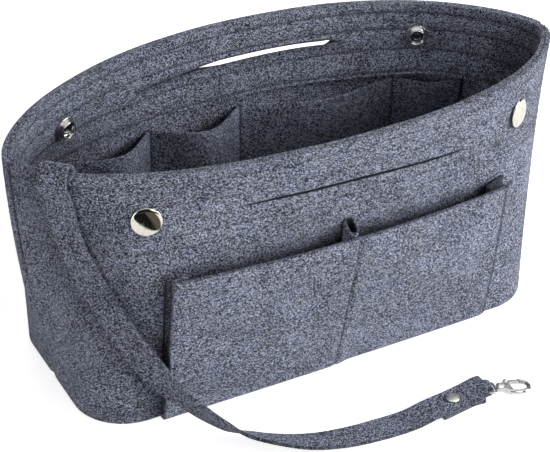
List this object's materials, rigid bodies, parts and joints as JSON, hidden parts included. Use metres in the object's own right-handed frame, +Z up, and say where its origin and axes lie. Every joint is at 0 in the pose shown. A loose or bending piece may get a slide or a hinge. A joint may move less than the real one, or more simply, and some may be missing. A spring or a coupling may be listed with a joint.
{
  "type": "felt purse organizer insert",
  "caption": "Felt handbag organizer insert with a lens-shaped open mouth, hand slits, snaps at its ends, a bellows pocket with pen loop, inner pockets and a key strap with a swivel clasp.",
  "frame": {"origin": "on the floor under the middle of the open mouth", "axes": "+X along the bag to the right as seen from the front, +Y from the pocketed front to the back, +Z up"},
  "size_m": [0.302, 0.1857, 0.147],
  "materials": {
    "felt": "heathered blue-grey needle felt",
    "inner_felt": "heathered blue-grey needle felt, darker inside",
    "nickel": "bright nickel plate",
    "steel": "plain spring steel"
  },
  "bodies": {
    "bag": {"bottom_panel": "inner_felt", "front_panel": "felt", "front_rim_facing": "inner_felt", "back_panel": "felt", "back_rim_facing": "inner_felt", "pocket_front": "felt", "pocket_left_bellows": "inner_felt", "pocket_right_bellows": "inner_felt", "pen_loop": "felt", "inner_pocket_strip": "inner_felt", "left_snap_cap": "nickel", "left_snap_socket": "nickel", "left_snap_stud": "nickel", "left_snap_post": "nickel", "right_snap_cap": "nickel", "right_snap_socket": "nickel", "right_snap_stud": "nickel", "right_snap_post": "nickel", "key_strap": "felt", "strap_rivet_cap": "nickel", "strap_rivet_base": "nickel"},
    "eye": {"clasp_eye": "nickel"},
    "hook": {"clasp_hook": "nickel", "clasp_gate_pin": "steel", "clasp_gate_spring": "steel"},
    "gate": {"clasp_gate": "nickel"}
  },
  "joints": [
    {"name": "clasp_tilt", "type": "hinge", "parent": "bag", "child": "eye", "pos_m": [0.0574, -0.1054, 0.0039], "axis": [-0.2588, -0.9659, 0], "range_deg": [-90, 100]},
    {"name": "clasp_swivel", "type": "hinge", "parent": "eye", "child": "hook", "pos_m": [0.06412, -0.1072, 0.00317], "axis": [0.9606, -0.2574, -0.1045], "continuous": true},
    {"name": "gate_swing", "type": "hinge", "parent": "hook", "child": "gate", "pos_m": [0.06776, -0.10745, 0.00279], "axis": [-0.101, 0.0271, -0.9945], "range_deg": [0, 24], "stiffness_Nm_per_rad": 0.004, "springref_deg": -14.32}
  ]
}
